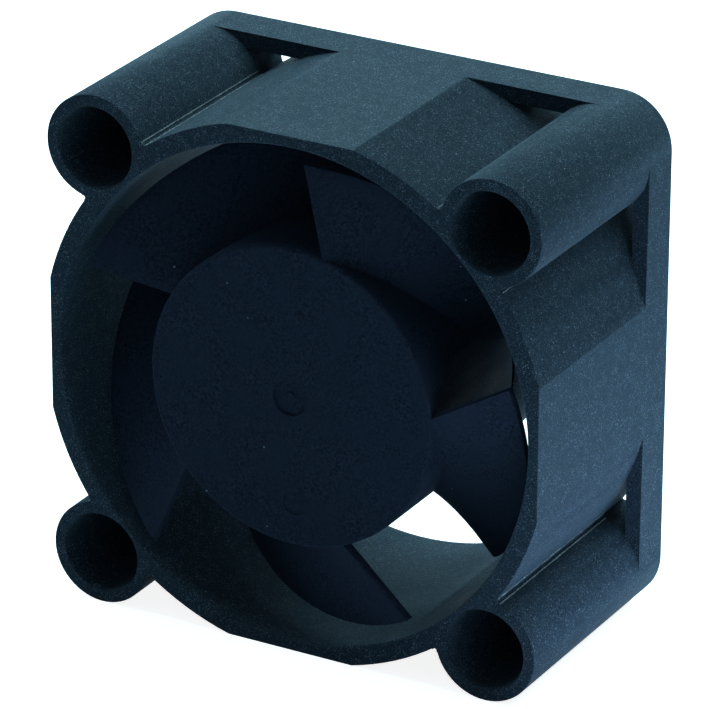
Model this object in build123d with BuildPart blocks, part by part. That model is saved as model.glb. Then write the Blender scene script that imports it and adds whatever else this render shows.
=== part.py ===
from build123d import *
from math import cos, radians, sin
import os

# A 40 mm axial cooling fan with tubular corner bosses, in millimetres.
# Heights are measured forward from the rear mounting face, along the fan axis. The origin is where
# the axis meets that face: +X is right, +Z is up, and the intake side looks towards -Y.

# Housing
side = 40.0
depth = 20.0
hole_inset = 4.0
screw_hole_r = 1.75
boss_bore_r = 3.1
flange_t = 3.6
rim_wall = 1.25
duct_side_t = 0.85
duct_wall = 1.5
mouth_chamfer = 0.12

# Struts and the wire exit
strut_count = 4
strut_angle = 30.0
strut_w = 1.4
strut_h = 2.4
wire_strut_w = 3.8
wire_strut_h = 3.0
wire_slot_w = 2.4
wire_slot_h = 2.0
wire_slot_inner_r = 8.0

# Motor base: a cup that holds the circuit board
base_step = 0.1
cup_wall = 0.8
cup_h = 7.3
base_floor_t = 1.1
label_recess = 0.3
label_margin = 1.0
label_t = 0.15
label_clearance = 0.1
board_seat_h = 5.0
board_seat_w = 0.8
access_ledge = 0.3

# Impeller
hub_r = 11.5
hub_wall = 1.1
hub_face_t = 1.2
hub_edge_r = 0.2
rotor_recess = 0.05
rotor_gap = 0.5
blade_count = 5
blade_angle = -23.3
tip_clearance = 1.05
blade_root_t = 0.8
blade_tip_t = 0.5
blade_front_setback = 0.05
blade_rear_setback = 1.1
blade_camber = 0.27
lead_root_angle = 27.9
lead_tip_angle = 37.6
trail_root_angle = -34.7
trail_tip_angle = -30.3
gate_r = 1.4
gate_depth = 0.2
gate_pip_r = 0.4
gate_pip_h = 0.15
dimple_r = 0.9
dimple_depth = 0.08
dimple_place = (0.4, -8.2)

# Rotor core
yoke_t = 0.5
yoke_setback = 0.2
magnet_wall = 1.0
magnet_rear_gap = 0.4
magnet_front_gap = 0.8
shaft_r = 1.0
shaft_chamfer = 0.15
shaft_rear_h = 2.9
bush_r = 2.4
bush_length = 1.3
spigot_r = 1.6
spring_gap = 1.3
spring_r = 1.45
spring_wire_r = 0.15
spring_turns = 2
spring_end_gap = 0.05
washer_r = 1.9
washer_t = 0.25
washer_clearance = 0.02
clip_r = 1.9
clip_t = 0.3
clip_groove_depth = 0.2
clip_slot_w = 1.3

# Ball bearings, 2 x 5 x 2.5
bearing_r = 2.5
bearing_w = 2.5
rear_bearing_h = 4.5
inner_race_wall = 0.4
outer_race_wall = 0.4
ball_r = 0.4
ball_count = 6
ball_clearance = 0.02
pocket_clearance = 0.04
cage_clearance = 0.1
cage_half_w = 0.6
shield_t = 0.15
shield_inset = 0.05
shield_seat = 0.1
shield_clearance = 0.06

# Bearing sleeve and its boss
sleeve_wall = 0.7
shoulder_step = 0.4
sleeve_boss_wall = 0.9
sleeve_boss_gap = 0.4
sleeve_fit = 0.02

# Stator
air_gap = 0.3
stack_t = 4.0
pole_count = 4
pole_w = 2.0
pole_shoe_t = 0.9
pole_slot_w = 2.4
core_hub_w = 1.6
insulator_t = 0.8
insulator_skirt_t = 0.5
insulator_skirt_gap = 0.03
insulator_margin = 0.4
bobbin_flange_t = 0.6
bobbin_flange_w = 5.0
bobbin_flange_over = 0.1
coil_build = 0.9
coil_corner_r = 0.8
coil_gap = 0.1
coil_hub_gap = 0.3
pin_r = 0.3
pin_circle_r = 5.9
pin_ear_w = 1.6
pin_ear_margin = 0.7
pin_sink = 0.6
pin_tail = 0.4

# Circuit board and what is on it
board_t = 0.8
board_clearance = 0.2
board_hole_clearance = 0.1
pin_hole_clearance = 0.05
chip_length = 4.9
chip_width = 3.9
chip_height = 1.5
chip_standoff = 0.1
chip_angle = 270.0
chip_lead_count = 4
chip_lead_pitch = 1.27
chip_lead_w = 0.4
chip_lead_length = 1.0
chip_lead_t = 0.25
hall_length = 3.0
hall_width = 1.5
hall_height = 1.8
hall_edge_inset = 1.2
hall_angle = 45.0
capacitor_size = (2.0, 1.25, 1.2)
capacitor_place_r = 7.6
capacitor_angles = (160.0, 190.0)
resistor_size = (1.6, 0.8, 0.5)
resistor_place_r = 7.8
resistor_angles = (85.0, 105.0, 350.0)
wire_pad_r = 0.75
wire_pad_t = 0.1
wire_pad_spread = 1.1
wire_pad_inset = 1.6

# Radii that follow from these
boss_r = hole_inset
hole_spacing = side - 2 * hole_inset
duct_bore_r = side / 2 - duct_side_t
duct_outer_r = duct_bore_r + duct_wall
blade_tip_r = duct_bore_r - tip_clearance
yoke_r = hub_r - hub_wall
magnet_r = yoke_r - yoke_t
magnet_bore_r = magnet_r - magnet_wall
stator_r = magnet_bore_r - air_gap
base_r = hub_r - base_step
cup_bore_r = base_r - cup_wall
label_recess_r = base_r - label_margin
board_r = cup_bore_r - board_clearance
board_seat_r = cup_bore_r - board_seat_w
hall_place_r = board_r - hall_edge_inset
wire_pad_place_r = board_seat_r - wire_pad_inset
sleeve_r = bearing_r + sleeve_wall
sleeve_bore_r = bearing_r - shoulder_step
sleeve_boss_r = sleeve_r + sleeve_boss_wall
access_r = sleeve_r - access_ledge
chip_place_r = (sleeve_r + board_r) / 2
core_hub_r = sleeve_r + core_hub_w
shoe_inner_r = stator_r - pole_shoe_t
neck_w = pole_w + 2 * insulator_skirt_t
insulator_hub_r = core_hub_r + insulator_margin
bobbin_flange_r = shoe_inner_r - insulator_skirt_t
coil_inner_r = insulator_hub_r + coil_hub_gap
coil_outer_r = bobbin_flange_r - coil_gap
inner_land_r = shaft_r + inner_race_wall
outer_land_r = bearing_r - outer_race_wall
ball_circle_r = (inner_land_r + outer_land_r) / 2

# Heights that follow from these, forward from the rear mounting face
floor_top = label_recess + base_floor_t
sleeve_boss_top = board_seat_h - sleeve_boss_gap
board_top = board_seat_h + board_t
hub_rear = cup_h + rotor_gap
hub_front = depth - rotor_recess
yoke_front = hub_front - hub_face_t
yoke_inner_front = yoke_front - yoke_t
yoke_rear = hub_rear + yoke_setback
magnet_front = yoke_inner_front - magnet_front_gap
magnet_rear = yoke_rear + magnet_rear_gap
stack_middle = (magnet_front + magnet_rear) / 2
stack_rear = stack_middle - stack_t / 2
insulator_half = stack_t / 2 + insulator_t
coil_half = insulator_half + coil_build
bobbin_half = coil_half + bobbin_flange_over
bush_rear = yoke_inner_front - bush_length
front_bearing_h = bush_rear - spring_gap - bearing_w
sleeve_front = front_bearing_h + bearing_w
washer_rear = rear_bearing_h - washer_t
clip_rear = washer_rear - clip_t
blade_front = hub_front - blade_front_setback
blade_rear = hub_rear + blade_rear_setback
pin_front = stack_middle - insulator_half + pin_sink
pin_rear = board_seat_h - pin_tail

# The half plane that lathe profiles are drawn in: across is the radius, up is the height
lathe = Plane(origin=(0, 0, 0), x_dir=(1, 0, 0), z_dir=(0, 0, -1))


def at(height):
    """The plane square to the fan axis at a height, seen from the front with +Z up."""
    return Plane.XZ.offset(height)


def radial_plane(angle, radius, height):
    """The plane that faces outwards at an angle about the fan axis, with its up side forward."""
    outward = (cos(radians(angle)), 0, sin(radians(angle)))
    around = (-sin(radians(angle)), 0, cos(radians(angle)))
    middle = (radius * outward[0], -height, radius * outward[2])
    return Plane(origin=middle, x_dir=around, z_dir=outward)


def board_place(angle, radius, height):
    """The plane on the circuit board at an angle and radius, turned so that across is outwards."""
    outward = (cos(radians(angle)), 0, sin(radians(angle)))
    return Plane(
        origin=(radius * outward[0], -height, radius * outward[2]), x_dir=outward, z_dir=(0, -1, 0)
    )


os.makedirs("parts", exist_ok=True)

# Housing moulding: duct, corner bosses, rear rim, motor base and struts
with BuildPart() as frame:
    with BuildSketch(at(0)):
        Circle(duct_outer_r)
        Rectangle(side, side, mode=Mode.INTERSECT)
        with GridLocations(hole_spacing, hole_spacing, 2, 2):
            Circle(boss_r)
    extrude(amount=depth)
    with BuildSketch(at(0)):
        RectangleRounded(side, side, boss_r)
        RectangleRounded(side - 2 * rim_wall, side - 2 * rim_wall, boss_r - rim_wall, mode=Mode.SUBTRACT)
    extrude(amount=flange_t)
    with BuildSketch(lathe):
        with BuildLine():
            Polyline(
                (0, 0),
                (duct_bore_r + mouth_chamfer, 0),
                (duct_bore_r, mouth_chamfer),
                (duct_bore_r, depth - mouth_chamfer),
                (duct_bore_r + mouth_chamfer, depth),
                (0, depth),
                close=True,
            )
        make_face()
    revolve(axis=Axis.Y, mode=Mode.SUBTRACT)
    with Locations(at(depth)):
        with GridLocations(hole_spacing, hole_spacing, 2, 2):
            CounterBoreHole(screw_hole_r, boss_bore_r, depth - flange_t)
    with BuildSketch(at(0)):
        with PolarLocations((base_r + duct_bore_r) / 2, strut_count, strut_angle):
            Rectangle(duct_bore_r - base_r + cup_wall + mouth_chamfer, strut_w)
    extrude(amount=strut_h)
    with BuildSketch(at(0)):
        with PolarLocations((base_r + duct_bore_r) / 2, 1, strut_angle + 180):
            Rectangle(duct_bore_r - base_r + cup_wall + mouth_chamfer, wire_strut_w)
    extrude(amount=wire_strut_h)
    with BuildSketch(lathe):
        with BuildLine():
            Polyline(
                (access_r, label_recess),
                (label_recess_r, label_recess),
                (label_recess_r, 0),
                (base_r, 0),
                (base_r, cup_h),
                (cup_bore_r, cup_h),
                (cup_bore_r, board_seat_h),
                (board_seat_r, board_seat_h),
                (board_seat_r, floor_top),
                (sleeve_boss_r, floor_top),
                (sleeve_boss_r, sleeve_boss_top),
                (sleeve_r + sleeve_fit, sleeve_boss_top),
                (sleeve_r + sleeve_fit, floor_top),
                (access_r, floor_top),
                close=True,
            )
        make_face()
    revolve(axis=Axis.Y)
    with BuildSketch(at(0)):
        with PolarLocations((wire_slot_inner_r + side) / 2, 1, strut_angle + 180):
            Rectangle(side - wire_slot_inner_r, wire_slot_w)
    extrude(amount=wire_slot_h, mode=Mode.SUBTRACT)
frame.part.label = "frame"
export_step(frame.part, "parts/frame.step")


def blade_edge(across, root_angle, tip_angle):
    """How far round a straight blade edge is, where it crosses the section at this distance out."""
    root = (hub_r * cos(radians(root_angle)), hub_r * sin(radians(root_angle)))
    tip = (blade_tip_r * cos(radians(tip_angle)), blade_tip_r * sin(radians(tip_angle)))
    return root[1] + (tip[1] - root[1]) * (across - root[0]) / (tip[0] - root[0])


# One blade about a vertical axis, before it is placed on the hub five times
blade_root_r = (hub_r + yoke_r) / 2
blade_sections = (
    (yoke_r * cos(radians(lead_tip_angle)), blade_root_t),
    (blade_tip_r + blade_tip_t, blade_tip_t),
)
with BuildPart() as blade:
    for across, thickness in blade_sections:
        lead = blade_edge(across, lead_root_angle, lead_tip_angle)
        trail = blade_edge(across, trail_root_angle, trail_tip_angle)
        middle_height = blade_front - (blade_front - blade_rear) * blade_camber
        with BuildSketch(Plane(origin=(across, 0, 0), x_dir=(0, 1, 0), z_dir=(1, 0, 0))):
            with BuildLine():
                face_line = ThreePointArc(
                    (lead, blade_front), ((lead + trail) / 2, middle_height), (trail, blade_rear)
                )
                offset(face_line, amount=thickness, side=Side.LEFT)
            make_face()
    loft(ruled=True)
    with BuildSketch():
        Circle(blade_tip_r)
        Circle(blade_root_r, mode=Mode.SUBTRACT)
    extrude(amount=depth, mode=Mode.INTERSECT)

# Impeller moulding: hub cap and blades
with BuildPart() as impeller:
    with BuildSketch(lathe):
        with BuildLine():
            Polyline(
                (0, yoke_front),
                (yoke_r, yoke_front),
                (yoke_r, hub_rear),
                (hub_r, hub_rear),
                (hub_r, hub_front - hub_edge_r),
            )
            RadiusArc((hub_r, hub_front - hub_edge_r), (hub_r - hub_edge_r, hub_front), -hub_edge_r)
            Polyline((hub_r - hub_edge_r, hub_front), (0, hub_front), (0, yoke_front))
        make_face()
    revolve(axis=Axis.Y)
    with Locations(Plane.XZ):
        with PolarLocations(0, blade_count, blade_angle):
            add(blade.part)
    with BuildSketch(at(hub_front)):
        Circle(gate_r)
        Circle(gate_pip_r, mode=Mode.SUBTRACT)
    extrude(amount=-gate_depth, mode=Mode.SUBTRACT)
    with BuildSketch(at(hub_front)):
        Circle(gate_pip_r)
    extrude(amount=gate_pip_h - gate_depth, mode=Mode.SUBTRACT)
    with BuildSketch(at(hub_front)):
        with Locations(dimple_place):
            Circle(dimple_r)
    extrude(amount=-dimple_depth, mode=Mode.SUBTRACT)
impeller.part.label = "impeller"
export_step(impeller.part, "parts/impeller.step")

# Drawn steel cup that carries the magnet
with BuildPart() as rotor_yoke:
    with BuildSketch(lathe):
        with BuildLine():
            Polyline(
                (spigot_r, yoke_inner_front),
                (magnet_r, yoke_inner_front),
                (magnet_r, yoke_rear),
                (yoke_r, yoke_rear),
                (yoke_r, yoke_front),
                (spigot_r, yoke_front),
                close=True,
            )
        make_face()
    revolve(axis=Axis.Y)
rotor_yoke.part.label = "rotor_yoke"
export_step(rotor_yoke.part, "parts/rotor_yoke.step")

with BuildPart() as magnet_ring:
    with BuildSketch(at(magnet_rear)):
        Circle(magnet_r)
        Circle(magnet_bore_r, mode=Mode.SUBTRACT)
    extrude(amount=magnet_front - magnet_rear)
magnet_ring.part.label = "magnet_ring"
export_step(magnet_ring.part, "parts/magnet_ring.step")

# Bush that is staked in the yoke and holds the shaft
with BuildPart() as shaft_bush:
    with BuildSketch(at(bush_rear)):
        Circle(bush_r)
    extrude(amount=yoke_inner_front - bush_rear)
    with BuildSketch(at(yoke_inner_front)):
        Circle(spigot_r)
    extrude(amount=yoke_t)
    with BuildSketch(at(bush_rear)):
        Circle(shaft_r)
    extrude(amount=yoke_front - bush_rear, mode=Mode.SUBTRACT)
shaft_bush.part.label = "shaft_bush"
export_step(shaft_bush.part, "parts/shaft_bush.step")

with BuildPart() as shaft:
    with BuildSketch(at(shaft_rear_h)):
        Circle(shaft_r)
    extrude(amount=yoke_front - shaft_rear_h)
    chamfer(shaft.edges().filter_by(GeomType.CIRCLE), shaft_chamfer)
    with BuildSketch(at(clip_rear)):
        Circle(shaft_r)
        Circle(shaft_r - clip_groove_depth, mode=Mode.SUBTRACT)
    extrude(amount=clip_t, mode=Mode.SUBTRACT)
shaft.part.label = "shaft"
export_step(shaft.part, "parts/shaft.step")

with BuildPart() as thrust_washer:
    with BuildSketch(at(washer_rear)):
        Circle(washer_r)
        Circle(shaft_r + washer_clearance, mode=Mode.SUBTRACT)
    extrude(amount=washer_t)
thrust_washer.part.label = "thrust_washer"
export_step(thrust_washer.part, "parts/thrust_washer.step")

# Clip that snaps in the shaft's groove from one side
with BuildPart() as retaining_clip:
    with BuildSketch(at(clip_rear)):
        Circle(clip_r)
        Circle(shaft_r - clip_groove_depth, mode=Mode.SUBTRACT)
        with Locations((clip_r / 2, 0)):
            Rectangle(clip_r, clip_slot_w, mode=Mode.SUBTRACT)
    extrude(amount=clip_t)
retaining_clip.part.label = "retaining_clip"
export_step(retaining_clip.part, "parts/retaining_clip.step")

# Spring that pushes the front bearing's inner race towards the rear one
spring_rear = sleeve_front + spring_end_gap + spring_wire_r
spring_length = spring_gap - 2 * (spring_end_gap + spring_wire_r)
with BuildPart() as preload_spring:
    with BuildLine():
        spring_path = Helix(
            spring_length / spring_turns,
            spring_length,
            spring_r,
            center=(0, -spring_rear, 0),
            direction=(0, -1, 0),
        )
    with BuildSketch(Plane(origin=spring_path @ 0, z_dir=spring_path % 0)):
        Circle(spring_wire_r)
    sweep()
preload_spring.part.label = "preload_spring"
export_step(preload_spring.part, "parts/preload_spring.step")

# Two ball bearings of the same size, each in five pieces
for bearing_name, bearing_rear in (("front_bearing", front_bearing_h), ("rear_bearing", rear_bearing_h)):
    bearing_front = bearing_rear + bearing_w
    bearing_middle = bearing_rear + bearing_w / 2
    groove_r = ball_r + ball_clearance

    with BuildPart() as inner_race:
        with BuildSketch(lathe):
            with Locations(((shaft_r + inner_land_r) / 2, bearing_middle)):
                Rectangle(inner_race_wall, bearing_w)
            with Locations((ball_circle_r, bearing_middle)):
                Circle(groove_r, mode=Mode.SUBTRACT)
        revolve(axis=Axis.Y)
    inner_race.part.label = bearing_name + "_inner_race"
    export_step(inner_race.part, "parts/" + bearing_name + "_inner_race.step")

    with BuildPart() as outer_race:
        with BuildSketch(lathe):
            with Locations(((outer_land_r + bearing_r) / 2, bearing_middle)):
                Rectangle(outer_race_wall, bearing_w)
            with Locations((ball_circle_r, bearing_middle)):
                Circle(groove_r, mode=Mode.SUBTRACT)
                with GridLocations(0, bearing_w - shield_inset - shield_t, 1, 2):
                    Rectangle(
                        2 * (outer_land_r + shield_seat - ball_circle_r),
                        shield_inset + shield_t,
                        mode=Mode.SUBTRACT,
                    )
        revolve(axis=Axis.Y)
    outer_race.part.label = bearing_name + "_outer_race"
    export_step(outer_race.part, "parts/" + bearing_name + "_outer_race.step")

    with BuildPart() as shields:
        for shield_rear in (bearing_rear + shield_inset, bearing_front - shield_inset - shield_t):
            with BuildSketch(at(shield_rear)):
                Circle(outer_land_r + shield_seat)
                Circle(inner_land_r + shield_clearance, mode=Mode.SUBTRACT)
            extrude(amount=shield_t)
    shields.part.label = bearing_name + "_shields"
    export_step(shields.part, "parts/" + bearing_name + "_shields.step")

    with BuildPart() as balls:
        with Locations(at(bearing_middle)):
            with PolarLocations(ball_circle_r, ball_count):
                Sphere(ball_r)
    balls.part.label = bearing_name + "_balls"
    export_step(balls.part, "parts/" + bearing_name + "_balls.step")

    with BuildPart() as cage:
        with BuildSketch(at(bearing_middle)):
            Circle(outer_land_r - cage_clearance)
            Circle(inner_land_r + cage_clearance, mode=Mode.SUBTRACT)
        extrude(amount=cage_half_w, both=True)
        for index in range(ball_count):
            with BuildSketch(radial_plane(index * 360 / ball_count, inner_land_r, bearing_middle)):
                Circle(ball_r + pocket_clearance)
            extrude(amount=outer_land_r - inner_land_r, mode=Mode.SUBTRACT)
    cage.part.label = bearing_name + "_cage"
    export_step(cage.part, "parts/" + bearing_name + "_cage.step")

# Brass sleeve: a pocket for each bearing, with the shoulder between them
rear_shoulder_h = rear_bearing_h + bearing_w
with BuildPart() as bearing_sleeve:
    with BuildSketch(lathe):
        with BuildLine():
            Polyline(
                (bearing_r, floor_top),
                (sleeve_r, floor_top),
                (sleeve_r, sleeve_front),
                (bearing_r, sleeve_front),
                (bearing_r, front_bearing_h),
                (sleeve_bore_r, front_bearing_h),
                (sleeve_bore_r, rear_shoulder_h),
                (bearing_r, rear_shoulder_h),
                close=True,
            )
        make_face()
    revolve(axis=Axis.Y)
bearing_sleeve.part.label = "bearing_sleeve"
export_step(bearing_sleeve.part, "parts/bearing_sleeve.step")

# Lamination stack with four poles
neck_length = shoe_inner_r + pole_shoe_t / 2 - sleeve_r - core_hub_w / 2
neck_middle_r = (shoe_inner_r + pole_shoe_t / 2 + sleeve_r + core_hub_w / 2) / 2
with BuildPart() as stator_core:
    with BuildSketch(at(stack_rear)):
        Circle(stator_r)
        Circle(shoe_inner_r, mode=Mode.SUBTRACT)
        with PolarLocations((stator_r + shoe_inner_r) / 2, pole_count, 180 / pole_count):
            Rectangle(2 * pole_shoe_t, pole_slot_w, mode=Mode.SUBTRACT)
        Circle(core_hub_r)
        with PolarLocations(neck_middle_r, pole_count):
            Rectangle(neck_length, pole_w)
        Circle(sleeve_r, mode=Mode.SUBTRACT)
    extrude(amount=stack_t)
stator_core.part.label = "stator_core"
export_step(stator_core.part, "parts/stator_core.step")

# Bobbin halves: the front one looks forward and the rear one, which has the pin ears, backward
skirt_length = shoe_inner_r - core_hub_r
plate_length = bobbin_flange_r + bobbin_flange_t - sleeve_r
ear_length = pin_circle_r + pin_ear_margin - core_hub_r
ear_middle_r = core_hub_r + ear_length / 2
for half_name, forward in (("front_insulator", 1), ("rear_insulator", -1)):
    stack_face = stack_middle + forward * stack_t / 2
    with BuildPart() as insulator:
        with BuildSketch(at(stack_face)):
            Circle(insulator_hub_r)
            with PolarLocations(sleeve_r + plate_length / 2, pole_count):
                Rectangle(plate_length, neck_w)
            if forward < 0:
                with PolarLocations(ear_middle_r, pole_count, 180 / pole_count):
                    Rectangle(ear_length, pin_ear_w)
            Circle(sleeve_r, mode=Mode.SUBTRACT)
        extrude(amount=forward * insulator_t)
        with BuildSketch(at(stack_face)):
            with PolarLocations(bobbin_flange_r + bobbin_flange_t / 2, pole_count):
                Rectangle(bobbin_flange_t, bobbin_flange_w)
        extrude(amount=forward * (bobbin_half - stack_t / 2))
        with BuildSketch(at(stack_face)):
            with PolarLocations(core_hub_r + skirt_length / 2, pole_count):
                Rectangle(skirt_length, neck_w)
                Rectangle(skirt_length, pole_w, mode=Mode.SUBTRACT)
            Circle(core_hub_r + insulator_skirt_gap, mode=Mode.SUBTRACT)
            Circle(shoe_inner_r - insulator_skirt_gap, mode=Mode.INTERSECT)
        extrude(amount=-forward * stack_t / 2)
        if forward < 0:
            with BuildSketch(at(pin_front)):
                with PolarLocations(pin_circle_r, pole_count, 180 / pole_count):
                    Circle(pin_r)
            extrude(amount=-pin_sink - insulator_t, mode=Mode.SUBTRACT)
    insulator.part.label = half_name
    export_step(insulator.part, "parts/" + half_name + ".step")

# One winding round each pole
for index in range(pole_count):
    with BuildPart() as coil:
        with BuildSketch(radial_plane(index * 360 / pole_count, coil_inner_r, stack_middle)):
            RectangleRounded(neck_w + 2 * coil_build, 2 * coil_half, coil_corner_r)
            Rectangle(neck_w, 2 * insulator_half, mode=Mode.SUBTRACT)
        extrude(amount=coil_outer_r - coil_inner_r)
    coil.part.label = "coil_" + str(index + 1)
    export_step(coil.part, "parts/coil_" + str(index + 1) + ".step")

with BuildPart() as terminal_pins:
    with BuildSketch(at(pin_rear)):
        with PolarLocations(pin_circle_r, pole_count, 180 / pole_count):
            Circle(pin_r)
    extrude(amount=pin_front - pin_rear)
terminal_pins.part.label = "terminal_pins"
export_step(terminal_pins.part, "parts/terminal_pins.step")

with BuildPart() as circuit_board:
    with BuildSketch(at(board_seat_h)):
        Circle(board_r)
        Circle(sleeve_r + board_hole_clearance, mode=Mode.SUBTRACT)
        with PolarLocations(pin_circle_r, pole_count, 180 / pole_count):
            Circle(pin_r + pin_hole_clearance, mode=Mode.SUBTRACT)
    extrude(amount=board_t)
circuit_board.part.label = "circuit_board"
export_step(circuit_board.part, "parts/circuit_board.step")

with BuildPart() as driver_chip:
    with BuildSketch(board_place(chip_angle, chip_place_r, board_top + chip_standoff)):
        Rectangle(chip_width, chip_length)
    extrude(amount=chip_height)
    with BuildSketch(board_place(chip_angle, chip_place_r, board_top)):
        with GridLocations(chip_width, chip_lead_pitch, 2, chip_lead_count):
            Rectangle(2 * chip_lead_length, chip_lead_w)
    extrude(amount=chip_lead_t)
driver_chip.part.label = "driver_chip"
export_step(driver_chip.part, "parts/driver_chip.step")

with BuildPart() as hall_sensor:
    with BuildSketch(board_place(hall_angle, hall_place_r, board_top)):
        Rectangle(hall_width, hall_length)
    extrude(amount=hall_height)
hall_sensor.part.label = "hall_sensor"
export_step(hall_sensor.part, "parts/hall_sensor.step")

# Chip parts that lie in a row round the board
for group_name, sizes, place_r, angles in (
    ("chip_capacitors", capacitor_size, capacitor_place_r, capacitor_angles),
    ("chip_resistors", resistor_size, resistor_place_r, resistor_angles),
):
    with BuildPart() as chips:
        for angle in angles:
            with BuildSketch(board_place(angle, place_r, board_top)):
                Rectangle(sizes[1], sizes[0])
            extrude(amount=sizes[2])
    chips.part.label = group_name
    export_step(chips.part, "parts/" + group_name + ".step")

# Pads for the supply wires, on the board's rear side beside the wire slot
with BuildPart() as wire_pads:
    with BuildSketch(board_place(strut_angle + 180, wire_pad_place_r, board_seat_h)):
        with GridLocations(0, 2 * wire_pad_spread, 1, 2):
            Circle(wire_pad_r)
    extrude(amount=-wire_pad_t)
wire_pads.part.label = "wire_pads"
export_step(wire_pads.part, "parts/wire_pads.step")

# Blank label in the recess of the motor base
with BuildPart() as rear_label:
    with BuildSketch(at(label_recess)):
        Circle(label_recess_r - label_clearance)
    extrude(amount=-label_t)
rear_label.part.label = "rear_label"
export_step(rear_label.part, "parts/rear_label.step")
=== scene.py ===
"""The looks of a small square axial cooling fan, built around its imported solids.

Everything is in metres in the part's own frame. The rear mounting face lies in the plane Y = 0 with
the fan axis along Y, +Z is up, +X is to the right, and the intake side looks towards -Y.
"""

import logging
import math
from dataclasses import dataclass
from enum import Enum
from functools import cache
from typing import Callable

import bmesh
import bpy
from mathutils import Matrix, Vector


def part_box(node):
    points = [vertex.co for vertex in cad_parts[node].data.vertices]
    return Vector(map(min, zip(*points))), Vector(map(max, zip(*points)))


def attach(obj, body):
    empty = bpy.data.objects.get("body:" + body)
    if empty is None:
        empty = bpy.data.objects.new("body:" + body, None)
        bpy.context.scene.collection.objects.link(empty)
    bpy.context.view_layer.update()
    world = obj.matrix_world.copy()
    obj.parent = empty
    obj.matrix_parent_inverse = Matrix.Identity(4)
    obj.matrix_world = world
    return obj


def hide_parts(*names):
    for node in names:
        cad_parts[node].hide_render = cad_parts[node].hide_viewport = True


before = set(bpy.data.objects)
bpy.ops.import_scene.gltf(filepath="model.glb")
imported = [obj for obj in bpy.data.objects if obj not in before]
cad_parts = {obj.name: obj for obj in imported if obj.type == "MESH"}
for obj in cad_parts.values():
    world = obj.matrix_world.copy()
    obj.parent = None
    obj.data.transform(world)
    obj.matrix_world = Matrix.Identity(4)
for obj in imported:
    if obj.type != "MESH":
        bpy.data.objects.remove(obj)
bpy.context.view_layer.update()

MM = 0.001
SAME_POINT = 0.0001 * MM
SEAM_GAP = 0.001 * MM
SHARP_TURN = math.radians(30.0)
FLAT_TURN = math.radians(0.5)

Colour = tuple[float, float, float]
Point = tuple[float, float, float]
Profile = tuple[tuple[float, float], ...]
Range = tuple[float, float]
Socket = bpy.types.NodeSocket

log = logging.getLogger("cooling_fan")


class Body(Enum):
    """The moving groups that a piece can ride on."""

    HOUSING = "housing"
    ROTOR = "rotor"
    FRONT_BALLS = "front_ball_set"
    REAR_BALLS = "rear_ball_set"


class Shading(Enum):
    """How the faces of a made mesh shade."""

    SMOOTH = "smooth"
    FLAT = "flat"
    AS_IT_IS = "as_it_is"


class Nodes:
    """A node tree under construction."""

    def __init__(self, tree: bpy.types.NodeTree) -> None:
        """Keeps the tree that the nodes go into."""
        self.tree = tree

    def node(self, kind: str, feeds: dict[str | int, object] | None = None,
             **settings: object) -> bpy.types.Node:
        """Adds a node.

        Args:
            kind: The node's type.
            feeds: A socket or a value for each of its inputs that is set.
            settings: Attributes to set on it.

        Returns:
            The new node.
        """
        made = self.tree.nodes.new(kind)
        for key, value in settings.items():
            setattr(made, key, value)
        for key, value in (feeds or {}).items():
            if isinstance(value, Socket):
                self.tree.links.new(value, made.inputs[key])
            else:
                made.inputs[key].default_value = value
        return made

    def maths(self, operation: str, first: Socket | float, second: Socket | float = 0.0) -> Socket:
        """The answer of one sum with two values."""
        return self.node("ShaderNodeMath", {0: first, 1: second}, operation=operation).outputs["Value"]


class Sheet(Nodes):
    """A material under construction."""

    def __init__(self, name: str) -> None:
        """Starts an empty material.

        Args:
            name: The material's name.
        """
        self.material = bpy.data.materials.new(name)
        self.material.use_nodes = True
        super().__init__(self.material.node_tree)
        self.tree.nodes.clear()
        self.place = self.node("ShaderNodeTexCoord").outputs["Object"]

    def show(self, shader: Socket) -> bpy.types.Material:
        """Ends the material with what its surface shows."""
        self.node("ShaderNodeOutputMaterial", {"Surface": shader})
        return self.material

    def noise(self, size: float, detail: float = 2.0, place: Socket | None = None) -> Socket:
        """Adds fractal noise.

        Args:
            size: The length of its largest feature, in metres.
            detail: How many finer octaves it has.
            place: The coordinates it reads, the object's own if left out.

        Returns:
            The noise value, centred on a half.
        """
        feeds = {"Scale": 1.0 / size, "Detail": detail, "Vector": place or self.place}
        return self.node("ShaderNodeTexNoise", feeds).outputs["Fac"]

    def cells(self, pitch: float, **settings: object) -> bpy.types.Node:
        """Adds a pattern of cells about points that lie a pitch apart."""
        return self.node("ShaderNodeTexVoronoi", {"Scale": 1.0 / pitch, "Vector": self.place}, **settings)

    def spread(self, value: Socket, low: float, high: float, to_low: float = 0.0,
               to_high: float = 1.0) -> Socket:
        """Stretches a value from one range to another and clamps it.

        Args:
            value: The value to stretch.
            low: What becomes to_low.
            high: What becomes to_high.
            to_low: The new low end.
            to_high: The new high end.

        Returns:
            The stretched value.
        """
        made = self.node("ShaderNodeMapRange", {
            "Value": value, "From Min": low, "From Max": high, "To Min": to_low, "To Max": to_high,
        })
        return made.outputs["Result"]

    def blend(self, share: Socket, first: Colour | Socket, second: Colour | Socket) -> Socket:
        """Mixes two colours.

        Args:
            share: How much of the second colour shows.
            first: The colour at 0.
            second: The colour at 1.

        Returns:
            The mixed colour.
        """
        first, second = ((*tint, 1.0) if isinstance(tint, tuple) else tint for tint in (first, second))
        return self.node("ShaderNodeMix", {"Factor": share, 6: first, 7: second}, data_type="RGBA").outputs[2]

    def bump(self, height: Socket, depth: float, under: Socket | None = None) -> Socket:
        """Turns a height into a surface direction.

        Args:
            height: The height, from 0 to 1.
            depth: How high 1 stands, in metres.
            under: A surface direction to build on.

        Returns:
            The surface direction.
        """
        feeds = {"Distance": depth, "Height": height}
        if under is not None:
            feeds["Normal"] = under
        return self.node("ShaderNodeBump", feeds).outputs["Normal"]


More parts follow.
